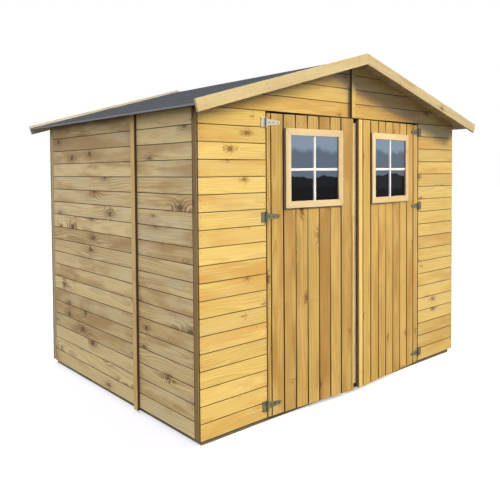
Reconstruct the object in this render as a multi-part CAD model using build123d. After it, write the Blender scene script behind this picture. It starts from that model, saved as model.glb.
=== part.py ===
from build123d import *

import math
import os

# Apex garden shed with a double door in the gable end.
# Millimetres. X runs along the front, Y from the front to the rear, Z up.
# The origin is on the ground, at the centre of the footprint.

# ---------------------------------------------------------------- driving dimensions

shed_width = 2400.0  # over the front boards
shed_depth = 1840.0  # over the front and rear boards
board_thickness = 16.0
board_pitch = 90.0  # cover of one tongue-and-groove board
boards_to_door_head = 19
frame_depth = 34.0  # wall framing, square to the wall
frame_width = 44.0  # wall framing, along the wall
joint_gap = 0.5  # between framing timbers that meet in one plane
corner_gap = 4.0  # between a side panel and the end panel that laps it

base_height = 30.0
base_inset = 21.0  # from the outer face of the boards
base_rail_width = 58.0
base_joist_width = 45.0
base_joist_count = 3
deck_thickness = 16.0
deck_clearance = 2.0

side_joint_from_front = 622.0  # centre of the cover batten on each side wall
stud_spacing = 565.0
batten_width = 44.0
gable_batten_width = 34.0
batten_thickness = 16.0

roof_pitch = 16.0  # degrees
eaves_rise = 9.0  # roof's underside above the door head, at the side boards
roof_board_thickness = 12.0
roof_felt_thickness = 3.0
felt_hem = 10.0  # felt folded down over the eaves
eaves_reach = 97.0  # past the side boards
gable_reach = 130.0  # past the front boards, bargeboard included
bargeboard_width = 64.0
bargeboard_thickness = 16.0
bargeboard_stand_up = 17.0  # above the felt
bargeboard_edge_round = 2.0
ridge_mitre_gap = 1.5
purlin_width = 34.0
purlin_height = 58.0
purlin_from_ridge = 600.0

door_opening_width = 1484.0
door_side_gap = 6.0
door_head_gap = 12.0
door_ground_gap = 31.0
door_meeting_gap = 7.0
right_leaf_width = 740.0
meeting_strip_show = 39.0  # seen between the two leaves
meeting_strip_lap = 24.0  # behind the left leaf's boards
meeting_strip_thickness = 18.0
meeting_strip_drop = 25.0  # below the leaf's top
sill_height = 28.0
sill_clearance = 5.0
door_ajar = 4.5  # degrees, as the doors stand at rest

ledge_width = 90.0
ledge_thickness = 28.0
ledge_inset = 14.0
ledge_heights = (130.0, 640.0, 1120.0, 1690.0)
brace_width = 70.0
brace_gap = 0.5

window_outer = 456.0
window_frame_width = 40.0
window_frame_proud = 12.0
window_centre_height = 1422.0
left_window_from_pin = 362.0
right_window_from_pin = 379.0
window_rebate = 10.0  # glass behind the frame, each side
glass_depth = 4.0  # behind the face of the boards
glass_thickness = 4.0
glass_clearance = 1.0
window_moulding_step = 5.0

hinge_heights = (98.0, 1155.0, 1677.0)
pin_from_leaf_edge = 3.0
pin_from_face = 6.0
pin_radius = 2.5
pin_clearance = 0.08
knuckle_radius = 5.5
knuckle_gap = 0.5
hinge_metal = 2.5
hinge_plate_height = 58.0
hinge_plate_reach = 36.0
strap_length = 100.0
strap_root_height = 40.0
strap_tip_height = 22.0
plate_notch_clearance = 2.5

# ---------------------------------------------------------------- derived sizes

half_width = shed_width / 2
half_depth = shed_depth / 2
frame_face = board_thickness  # framing starts behind the boards
frame_back = board_thickness + frame_depth
slope = math.tan(math.radians(roof_pitch))
across_slope = 1 / math.cos(math.radians(roof_pitch))
board_bottom = base_height
door_head = board_bottom + boards_to_door_head * board_pitch
half_opening = door_opening_width / 2
deck_top = base_height + deck_thickness
ridge_underside = door_head + eaves_rise + slope * half_width
room_half_width = half_width - frame_back
room_half_depth = half_depth - frame_back
roof_half_width = half_width + eaves_reach
roof_half_depth = half_depth + gable_reach - bargeboard_thickness
plate_top = base_height + frame_depth
side_plate_bottom = door_head + eaves_rise - frame_width
side_joint = -half_depth + side_joint_from_front
leaf_bottom = door_ground_gap
leaf_top = door_head - door_head_gap
pin_x = half_opening - door_side_gap + pin_from_leaf_edge
pin_y = -half_depth - pin_from_face


# ---------------------------------------------------------------- helpers


def block(x0, x1, y0, y1, z0, z1):
    """A plain timber between two opposite corners."""
    timber = Box(x1 - x0, y1 - y0, z1 - z0)
    return Pos((x0 + x1) / 2, (y0 + y1) / 2, (z0 + z1) / 2) * timber


def along_y(outline, y0, y1):
    """A prism with its outline given as (x, z) points, running from y0 to y1."""
    points = [Vector(x, y0, z) for x, z in outline]
    face = make_face(Polyline(*points, close=True))
    return extrude(face, y1 - y0, dir=(0, 1, 0))


def across(shape):
    """The same piece on the other side of the shed's centre plane."""
    return mirror(shape, Plane.YZ)


def to_rear(shape):
    """The same piece at the rear."""
    return mirror(shape, Plane.XZ)


def roof_line(x, above_underside=0.0):
    """Height of the roof's underside, or of a plane parallel to it, at x."""
    return ridge_underside - slope * abs(x) + above_underside * across_slope


def save(node, solids):
    """Write one node, of one solid or several that stand apart."""
    shapes = solids if isinstance(solids, list) else [solids]
    shape = shapes[0] if len(shapes) == 1 else Compound(children=shapes)
    export_step(shape, f"parts/{node}.step")


os.makedirs("parts", exist_ok=True)

# ---------------------------------------------------------------- base and floor

rail_x = half_width - base_inset
rail_y = half_depth - base_inset
side_rail = block(-rail_x, -rail_x + base_rail_width, -rail_y, rail_y, 0, base_height)
save("base_side_rails", [side_rail, across(side_rail)])

joist_end = rail_x - base_rail_width
front_rail = block(-joist_end, joist_end, -rail_y, -rail_y + base_rail_width, 0, base_height)
cross_rails = [front_rail, to_rear(front_rail)]
for joist in range(base_joist_count):
    share = (joist + 1) / (base_joist_count + 1)
    centre = -rail_y + base_rail_width / 2 + share * (2 * rail_y - base_rail_width)
    cross_rails.append(
        block(
            -joist_end,
            joist_end,
            centre - base_joist_width / 2,
            centre + base_joist_width / 2,
            0,
            base_height,
        )
    )
save("base_cross_rails", cross_rails)

deck_x = room_half_width - deck_clearance
deck_y = room_half_depth - deck_clearance
save("floor_deck", block(-deck_x, deck_x, -deck_y, deck_y, base_height, deck_top))

# ---------------------------------------------------------------- front and rear boards

front_boards = block(
    -half_width,
    -half_opening,
    -half_depth,
    -half_depth + board_thickness,
    board_bottom,
    door_head,
)
save("front_wall_left", front_boards)
save("front_wall_right", across(front_boards))

gable_outline = [
    (-half_width, door_head),
    (0, door_head),
    (0, roof_line(0)),
    (-half_width, roof_line(half_width)),
]
front_gable = along_y(gable_outline, -half_depth, -half_depth + board_thickness)
save("front_gable_left", front_gable)
save("front_gable_right", across(front_gable))

rear_outline = [
    (-half_width, board_bottom),
    (0, board_bottom),
    (0, roof_line(0)),
    (-half_width, roof_line(half_width)),
]
rear_boards = along_y(rear_outline, half_depth - board_thickness, half_depth)
save("rear_wall_left", rear_boards)
save("rear_wall_right", across(rear_boards))

# ---------------------------------------------------------------- side boards


def side_boards(y0, y1):
    """Boards of a left-hand side panel, bevelled to the roof along the top."""
    inner = half_width - board_thickness
    outline = [
        (-half_width, board_bottom),
        (-inner, board_bottom),
        (-inner, roof_line(inner)),
        (-half_width, roof_line(half_width)),
    ]
    return along_y(outline, y0, y1)


side_end = room_half_depth - corner_gap
front_side_panel = side_boards(-side_end, side_joint - joint_gap)
rear_side_panel = side_boards(side_joint + joint_gap, side_end)
save("left_wall_front", front_side_panel)
save("left_wall_rear", rear_side_panel)
save("right_wall_front", across(front_side_panel))
save("right_wall_rear", across(rear_side_panel))

# ---------------------------------------------------------------- cover battens

side_batten = along_y(
    [
        (-half_width - batten_thickness, 0.5 * board_bottom),
        (-half_width, 0.5 * board_bottom),
        (-half_width, roof_line(half_width)),
        (-half_width - batten_thickness, roof_line(half_width + batten_thickness)),
    ],
    side_joint - batten_width / 2,
    side_joint + batten_width / 2,
)
save("side_wall_battens", [side_batten, across(side_batten)])


def end_batten(width, bottom):
    """Upright cover batten over the meeting of two end panels, front side."""
    half = width / 2
    outline = [
        (-half, bottom),
        (half, bottom),
        (half, roof_line(half)),
        (0, roof_line(0)),
        (-half, roof_line(half)),
    ]
    return along_y(outline, -half_depth - batten_thickness, -half_depth)


save("front_gable_batten", end_batten(gable_batten_width, door_head))
save("rear_wall_batten", to_rear(end_batten(batten_width, board_bottom)))

# ---------------------------------------------------------------- end wall framing

front_frame_y = (-half_depth + frame_face, -half_depth + frame_back)
half_stud = frame_width / 2
rafter_drop = frame_width * across_slope

corner_outline = [
    (-half_width, base_height),
    (-half_width + frame_width, base_height),
    (-half_width + frame_width, roof_line(half_width - frame_width)),
    (-half_width, roof_line(half_width)),
]
corner_post = along_y(corner_outline, *front_frame_y)
door_post = block(
    -half_opening - frame_width, -half_opening, *front_frame_y, base_height, door_head
)
head_top = door_head + frame_width


def king_post(bottom):
    """Middle post of an end wall, cut to the two rafters above it."""
    outline = [
        (-half_stud, bottom),
        (half_stud, bottom),
        (half_stud, roof_line(half_stud) - rafter_drop),
        (0, roof_line(0) - rafter_drop),
        (-half_stud, roof_line(half_stud) - rafter_drop),
    ]
    return along_y(outline, *front_frame_y)


save(
    "front_wall_posts",
    [corner_post, across(corner_post), door_post, across(door_post), king_post(head_top)],
)

rear_stud_outline = [
    (-purlin_from_ridge - half_stud, plate_top),
    (-purlin_from_ridge + half_stud, plate_top),
    (-purlin_from_ridge + half_stud, roof_line(purlin_from_ridge - half_stud) - rafter_drop),
    (-purlin_from_ridge - half_stud, roof_line(purlin_from_ridge + half_stud) - rafter_drop),
]
rear_stud = to_rear(along_y(rear_stud_outline, *front_frame_y))
rear_corner = to_rear(corner_post)
rear_king = to_rear(king_post(plate_top))
save(
    "rear_wall_posts",
    [rear_corner, across(rear_corner), rear_stud, across(rear_stud), rear_king],
)

rafter_foot = half_width - frame_width
rafter_outline = [
    (-rafter_foot, roof_line(rafter_foot)),
    (-rafter_foot, roof_line(rafter_foot) - rafter_drop),
    (-joint_gap / 2, roof_line(joint_gap / 2) - rafter_drop),
    (-joint_gap / 2, roof_line(joint_gap / 2)),
]
rafter = along_y(rafter_outline, *front_frame_y)
rafters = [rafter, across(rafter), to_rear(rafter), across(to_rear(rafter))]
save("gable_rafters", rafters)

head_rail = block(
    -half_opening - frame_width,
    half_opening + frame_width,
    *front_frame_y,
    door_head,
    head_top,
)
save("door_head_rail", head_rail - rafter - across(rafter))

sill = block(
    -half_opening,
    half_opening,
    -half_depth + board_thickness + sill_clearance,
    -half_depth + frame_back,
    base_height,
    base_height + sill_height,
)
save("door_sill", sill)

# ---------------------------------------------------------------- side wall framing

side_frame_x = (-half_width + frame_face, -half_width + frame_back)
side_frame_end = room_half_depth - joint_gap
front_plate = block(
    -half_width + frame_width,
    -half_opening - frame_width,
    *front_frame_y,
    base_height,
    plate_top,
)
rear_plate = block(
    -half_width + frame_width,
    half_width - frame_width,
    half_depth - frame_back,
    half_depth - frame_face,
    base_height,
    plate_top,
)
side_plate = block(*side_frame_x, -side_frame_end, side_frame_end, base_height, plate_top)
bottom_plates = [front_plate, across(front_plate), rear_plate, side_plate, across(side_plate)]
save("wall_bottom_plates", bottom_plates)

top_plate = along_y(
    [
        (side_frame_x[0], side_plate_bottom),
        (side_frame_x[1], side_plate_bottom),
        (side_frame_x[1], roof_line(side_frame_x[1])),
        (side_frame_x[0], roof_line(side_frame_x[0])),
    ],
    -side_frame_end,
    side_frame_end,
)
save("wall_top_plates", [top_plate, across(top_plate)])


def side_stud(y0):
    """An upright of a left-hand side panel, starting at y0."""
    return block(*side_frame_x, y0, y0 + frame_width, plate_top, side_plate_bottom)


stud_starts = [
    -side_frame_end,
    side_joint - joint_gap - frame_width,
    side_joint + joint_gap,
    side_joint + joint_gap + stud_spacing,
    side_frame_end - frame_width,
]
left_studs = [side_stud(start) for start in stud_starts]
save("left_wall_studs", left_studs)
save("right_wall_studs", [across(stud) for stud in left_studs])

# ---------------------------------------------------------------- roof

half_purlin = purlin_width / 2
ridge_beam = along_y(
    [
        (-half_purlin, roof_line(0) - purlin_height),
        (half_purlin, roof_line(0) - purlin_height),
        (half_purlin, roof_line(half_purlin)),
        (0, roof_line(0)),
        (-half_purlin, roof_line(half_purlin)),
    ],
    -room_half_depth,
    room_half_depth,
)
purlin_in = purlin_from_ridge - half_purlin
purlin_out = purlin_from_ridge + half_purlin
purlin = along_y(
    [
        (-purlin_out, roof_line(purlin_from_ridge) - purlin_height),
        (-purlin_in, roof_line(purlin_from_ridge) - purlin_height),
        (-purlin_in, roof_line(purlin_in)),
        (-purlin_out, roof_line(purlin_out)),
    ],
    -room_half_depth,
    room_half_depth,
)
save("roof_purlins", [ridge_beam, purlin, across(purlin)])

edge_run = math.sin(math.radians(roof_pitch))
edge_fall = math.cos(math.radians(roof_pitch))


def off_slope(x, above):
    """The point at a height square to the left slope, from the underside at x."""
    return (x - above * edge_run, roof_line(x) + above * edge_fall)


def peak(above):
    """The point on the ridge line of a plane parallel to the underside."""
    return (0, roof_line(0, above))


roof_boards = along_y(
    [
        (0, roof_line(0)),
        (-roof_half_width, roof_line(roof_half_width)),
        off_slope(-roof_half_width, roof_board_thickness),
        peak(roof_board_thickness),
    ],
    -roof_half_depth,
    roof_half_depth,
)
save("roof_boards_left", roof_boards)
save("roof_boards_right", across(roof_boards))

felt_top = roof_board_thickness + roof_felt_thickness
hem_bottom = roof_board_thickness - felt_hem


def outward(point):
    """A point moved down the left slope by the felt's thickness."""
    return (point[0] - roof_felt_thickness * edge_fall, point[1] - roof_felt_thickness * edge_run)


felt_left = [
    peak(felt_top),
    outward(off_slope(-roof_half_width, felt_top)),
    outward(off_slope(-roof_half_width, hem_bottom)),
    off_slope(-roof_half_width, hem_bottom),
    off_slope(-roof_half_width, roof_board_thickness),
    peak(roof_board_thickness),
]
felt_right = [(-x, z) for x, z in reversed(felt_left[1:-1])]
save("roof_felt", along_y(felt_left + felt_right, -roof_half_depth, roof_half_depth))

# ---------------------------------------------------------------- bargeboards

barge_top = felt_top + bargeboard_stand_up
barge_bottom = barge_top - bargeboard_width


def bargeboard():
    """Front left bargeboard, cut square at the eaves and upright at the ridge."""
    half_gap = ridge_mitre_gap / 2
    outline = [
        (-half_gap, roof_line(half_gap, barge_top)),
        (-half_gap, roof_line(half_gap, barge_bottom)),
        off_slope(-roof_half_width, barge_bottom),
        off_slope(-roof_half_width, barge_top),
    ]
    board = along_y(outline, -half_depth - gable_reach, -roof_half_depth)
    face_edges = board.edges().filter_by_position(
        Axis.Y, -half_depth - gable_reach, -half_depth - gable_reach
    )
    return fillet(face_edges, bargeboard_edge_round)


front_barge = bargeboard()
save("bargeboard_front_left", front_barge)
save("bargeboard_front_right", across(front_barge))
save("bargeboard_rear_left", to_rear(front_barge))
save("bargeboard_rear_right", across(to_rear(front_barge)))

# ---------------------------------------------------------------- hinges
# Each hinge is drawn with its pin on the Z axis, the leaf on its +X side and the
# boards' outer face at y = pin_from_face. It is then moved to the left jamb, and
# mirrored to the right one.

middle_knuckle = strap_root_height
end_knuckle = (hinge_plate_height - middle_knuckle) / 2 - knuckle_gap
metal_front = pin_from_face - hinge_metal


def hinge_plate():
    """Fixed plate with the two end knuckles and the pin."""
    half_height = hinge_plate_height / 2
    plate = block(-hinge_plate_reach, 0, metal_front, pin_from_face, -half_height, half_height)
    corners = plate.edges().filter_by(Axis.Y).group_by(Axis.X)[0]
    plate = fillet(corners, hinge_metal)
    notch_height = middle_knuckle / 2 + knuckle_gap
    notch_reach = knuckle_radius + plate_notch_clearance
    plate -= block(-notch_reach, 1, 0, pin_from_face + 1, -notch_height, notch_height)
    knuckle_middle = half_height - end_knuckle / 2
    for side in (-1, 1):
        plate += Pos(0, 0, side * knuckle_middle) * Cylinder(knuckle_radius, end_knuckle)
    return plate + Cylinder(pin_radius, hinge_plate_height)


def hinge_strap():
    """Tapered strap with the middle knuckle, bored for the pin."""
    tip_radius = strap_tip_height / 2
    straight = strap_length - tip_radius
    half_root = strap_root_height / 2
    blade_face = make_face(
        [
            Line((0, pin_from_face, half_root), (0, pin_from_face, -half_root)),
            Line((0, pin_from_face, -half_root), (straight, pin_from_face, -tip_radius)),
            ThreePointArc(
                (straight, pin_from_face, -tip_radius),
                (strap_length, pin_from_face, 0),
                (straight, pin_from_face, tip_radius),
            ),
            Line((straight, pin_from_face, tip_radius), (0, pin_from_face, half_root)),
        ]
    )
    blade = extrude(blade_face, hinge_metal, dir=(0, -1, 0))
    strap = blade + Cylinder(knuckle_radius, middle_knuckle)
    return strap - Cylinder(pin_radius + pin_clearance, middle_knuckle + 2)


def at_left_jamb(shape, height):
    """A hinge piece moved to the left jamb."""
    return Pos(-pin_x, pin_y, height) * shape


plates = [at_left_jamb(hinge_plate(), height) for height in hinge_heights]
save("hinge_plates", plates + [across(plate) for plate in plates])

# ---------------------------------------------------------------- doors
# Each leaf is drawn closed at the left jamb, as (distance from the pin, depth behind
# the face), then set ajar about its pin. The right leaf is mirrored before it is set.

left_leaf_width = (
    2 * (half_opening - door_side_gap)
    - right_leaf_width
    - door_meeting_gap
    - meeting_strip_show
)
face_y = -half_depth


def leaf_block(from_edge, to_edge, depth0, depth1, z0, z1):
    """A block of a leaf, measured from its hinged edge and from its outer face."""
    edge = -half_opening + door_side_gap
    return block(edge + from_edge, edge + to_edge, face_y + depth0, face_y + depth1, z0, z1)


def window_block(from_pin, size, depth0, depth1):
    """A square block centred on a window whose centre is from_pin off the pin."""
    centre = from_pin - pin_from_leaf_edge
    return leaf_block(
        centre - size / 2,
        centre + size / 2,
        depth0,
        depth1,
        window_centre_height - size / 2,
        window_centre_height + size / 2,
    )


window_inner = window_outer - 2 * window_frame_width
window_hole = window_inner + 2 * window_rebate


def leaf_boards(width, window_from_pin):
    """Upright boards of a leaf, cut through for the window."""
    boards = leaf_block(0, width, 0, board_thickness, leaf_bottom, leaf_top)
    return boards - window_block(window_from_pin, window_hole, -1, board_thickness + 1)


def window_frame(window_from_pin):
    """Square moulded frame planted on the leaf round its window."""
    frame = window_block(window_from_pin, window_outer, -window_frame_proud, 0)
    frame -= window_block(window_from_pin, window_inner, -window_frame_proud - 1, 1)
    front = frame.faces().sort_by(Axis.Y)[0]
    return chamfer(front.edges(), window_moulding_step)


def glass(window_from_pin):
    """Pane in the hole of the boards, behind the window frame."""
    pane = window_hole - 2 * glass_clearance
    return window_block(window_from_pin, pane, glass_depth, glass_depth + glass_thickness)


def ledges_and_braces(width):
    """Cross ledges behind the boards, with a brace that rises from the hinged edge."""
    pieces = []
    back = (board_thickness, board_thickness + ledge_thickness)
    reach = width - ledge_inset
    for height in ledge_heights:
        low, high = height - ledge_width / 2, height + ledge_width / 2
        top = min(high, leaf_top - ledge_inset)
        pieces.append(leaf_block(ledge_inset, reach, *back, low, top))
    edge = -half_opening + door_side_gap
    for low_ledge, high_ledge in ((0, 1), (1, 2)):
        bottom = ledge_heights[low_ledge] + ledge_width / 2 + brace_gap
        top = ledge_heights[high_ledge] - ledge_width / 2 - brace_gap
        run = reach - ledge_inset - brace_width
        outline = [
            (edge + ledge_inset, bottom),
            (edge + ledge_inset + brace_width, bottom),
            (edge + ledge_inset + brace_width + run, top),
            (edge + ledge_inset + run, top),
        ]
        pieces.append(along_y(outline, face_y + back[0], face_y + back[1]))
    return pieces


def meeting_strip():
    """Upright strip behind the left leaf's free edge, showing between the leaves."""
    return leaf_block(
        left_leaf_width - meeting_strip_lap,
        left_leaf_width + meeting_strip_show,
        board_thickness,
        board_thickness + meeting_strip_thickness,
        base_height + sill_height + sill_clearance,
        leaf_top - meeting_strip_drop,
    )


left_pin = Axis((-pin_x, pin_y, 0), (0, 0, -1))
right_pin = Axis((pin_x, pin_y, 0), (0, 0, 1))


def set_left(shape):
    """A piece of the left leaf, set ajar."""
    return shape.rotate(left_pin, door_ajar)


def set_right(shape):
    """A piece of the right leaf, mirrored across and set ajar."""
    return across(shape).rotate(right_pin, door_ajar)


straps = [at_left_jamb(hinge_strap(), height) for height in hinge_heights]
left_ledge_width = left_leaf_width - meeting_strip_lap + ledge_inset - brace_gap

save("left_door_boards", set_left(leaf_boards(left_leaf_width, left_window_from_pin)))
save("left_door_ledges", [set_left(piece) for piece in ledges_and_braces(left_ledge_width)])
save("left_door_meeting_strip", set_left(meeting_strip()))
save("left_door_window_frame", set_left(window_frame(left_window_from_pin)))
save("left_door_glass", set_left(glass(left_window_from_pin)))
save("left_door_hinge_straps", [set_left(strap) for strap in straps])

save("right_door_boards", set_right(leaf_boards(right_leaf_width, right_window_from_pin)))
save("right_door_ledges", [set_right(piece) for piece in ledges_and_braces(right_leaf_width)])
save("right_door_window_frame", set_right(window_frame(right_window_from_pin)))
save("right_door_glass", set_right(glass(right_window_from_pin)))
save("right_door_hinge_straps", [set_right(strap) for strap in straps])
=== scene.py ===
"""A tongue-and-groove garden shed with an apex roof and two boarded doors, dressed for show."""

import logging
import math
import random
from contextlib import contextmanager
from dataclasses import dataclass, field
from enum import Enum
from functools import cache
from typing import Callable, Iterator, Optional, Sequence

import bpy
from mathutils import Matrix, Vector


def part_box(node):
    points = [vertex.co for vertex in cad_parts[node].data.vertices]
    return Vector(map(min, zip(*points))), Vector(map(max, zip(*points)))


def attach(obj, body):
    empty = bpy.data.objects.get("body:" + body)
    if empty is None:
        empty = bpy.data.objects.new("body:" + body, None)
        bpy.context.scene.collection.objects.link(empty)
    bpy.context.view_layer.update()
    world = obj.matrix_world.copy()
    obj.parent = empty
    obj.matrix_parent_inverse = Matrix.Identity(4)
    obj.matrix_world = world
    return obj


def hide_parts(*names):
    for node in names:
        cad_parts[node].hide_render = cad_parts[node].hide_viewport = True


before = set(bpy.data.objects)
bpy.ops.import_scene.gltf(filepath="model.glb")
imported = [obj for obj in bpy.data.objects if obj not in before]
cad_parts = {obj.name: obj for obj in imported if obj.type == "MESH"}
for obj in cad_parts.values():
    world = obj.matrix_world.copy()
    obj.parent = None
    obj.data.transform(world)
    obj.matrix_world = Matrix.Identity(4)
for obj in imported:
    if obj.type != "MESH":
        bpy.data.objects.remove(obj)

log = logging.getLogger("garden_shed")

Material = bpy.types.Material
Piece = bpy.types.Object
Socket = bpy.types.NodeSocket
Colour = tuple[float, float, float, float]

MM = 0.001
SHED = "shed"
LEFT_DOOR = "left_door"
RIGHT_DOOR = "right_door"
ROOF_PITCH = math.radians(16.0)
SLOPE_SIN, SLOPE_COS = math.sin(ROOF_PITCH), math.cos(ROOF_PITCH)
DOOR_AJAR = math.radians(4.5)
HINGE_HEIGHTS = (98.0, 1155.0, 1677.0)  # millimetres above the ground
PIN = (739.0, -926.0)  # millimetres from the centre, and along Y
FRONT_FACE = -920.0  # outer face of the front boards along Y, in millimetres
HINGE_METAL = 2.5  # thickness of the hinge plates and straps, in millimetres
UPRIGHT = Matrix.Rotation(-math.pi / 2, 4, "Y")  # stands a board that lies along +X on its end


class Grain(Enum):
    """Where a timber finish reads the run of the wood fibres."""

    LOG = "log"
    ALONG_X = "x"
    ALONG_Y = "y"
    ALONG_Z = "z"


class Half(Enum):
    """One of two like halves of the shed, as a sign on the axis between them."""

    def turn(self) -> Matrix:
        """The turn from the first half's frame to this half's."""
        return Matrix.Rotation(0 if self.value < 0 else math.pi, 4, "Z")


class Side(Half):
    """Left or right of the shed's centre plane, as a sign on X."""

    LEFT = -1
    RIGHT = 1


class End(Half):
    """Front or rear of the shed, as a sign on Y."""

    FRONT = -1
    REAR = 1


# ------------------------------------------------------------------ colour and node tools


def linear(hex_code: str) -> Colour:
    """Turn an sRGB hex colour into the linear colour that a shader takes.

    Args:
        hex_code: Six hexadecimal digits.

    Returns:
        Red, green, blue and an alpha of one.
    """
    channels = [int(hex_code[i : i + 2], 16) / 255 for i in (0, 2, 4)]
    r, g, b = (c / 12.92 if c <= 0.04045 else ((c + 0.055) / 1.055) ** 2.4 for c in channels)
    return (r, g, b, 1.0)


class NodeSheet:
    """The node tree of one material, or of the world."""

    CHOICES = {"MapRange": "interpolation_type", "Mix": "data_type"}

    def __init__(self, owner: Material | bpy.types.World) -> None:
        """Start with an empty tree.

        Args:
            owner: The material or world that the tree belongs to.
        """
        self.owner = owner
        owner.use_nodes = True
        self.tree = owner.node_tree
        self.tree.nodes.clear()

    def add(
        self, kind: str, *values: object, output: int | str = 0, at: Optional[dict] = None,
        **settings: object,
    ) -> Socket:
        """Add a node, set its properties, and set or link its inputs.

        Args:
            kind: The node's type without its ShaderNode prefix, with its operation,
                interpolation or data type after a colon.
            *values: Values or sockets for the first inputs. A range takes its value, where
                it starts and ends, and what it turns those into.
            output: Name or number of the output to hand back.
            at: Values or sockets of other inputs, by name or number.
            **settings: Further properties of the node.

        Returns:
            The chosen output socket.
        """
        kind, _, choice = kind.partition(":")
        node = self.tree.nodes.new("ShaderNode" + kind)
        if choice:
            settings[self.CHOICES.get(kind, "operation")] = choice
        for name, value in settings.items():
            setattr(node, name, value)
        for key, value in {**dict(enumerate(values)), **(at or {})}.items():
            if isinstance(value, Socket):
                self.tree.links.new(value, node.inputs[key])
            else:
                node.inputs[key].default_value = value
        return node.outputs[output] if len(node.outputs) else None

    def show(self, shader: Socket) -> Material | bpy.types.World:
        """Link the last shader to the output.

        Args:
            shader: The shader.

        Returns:
            The material or world that owns the tree.
        """
        of_world = isinstance(self.owner, bpy.types.World)
        self.add("OutputWorld" if of_world else "OutputMaterial", at={"Surface": shader})
        return self.owner


# ------------------------------------------------------------------ finishes


@dataclass(frozen=True)
class Finish:
    """A finish that is drawn once, as the material of its name, and then shared."""

    name: str

    @cache
    def material(self) -> Material:
        """The finish's material, drawn when it is first asked for."""
        sheet = NodeSheet(bpy.data.materials.new(self.name))
        return sheet.show(self.shader(sheet))

    def shader(self, sheet: NodeSheet) -> Socket:
        """Draw the finish on a sheet and hand back its shader."""
        raise NotImplementedError


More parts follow.
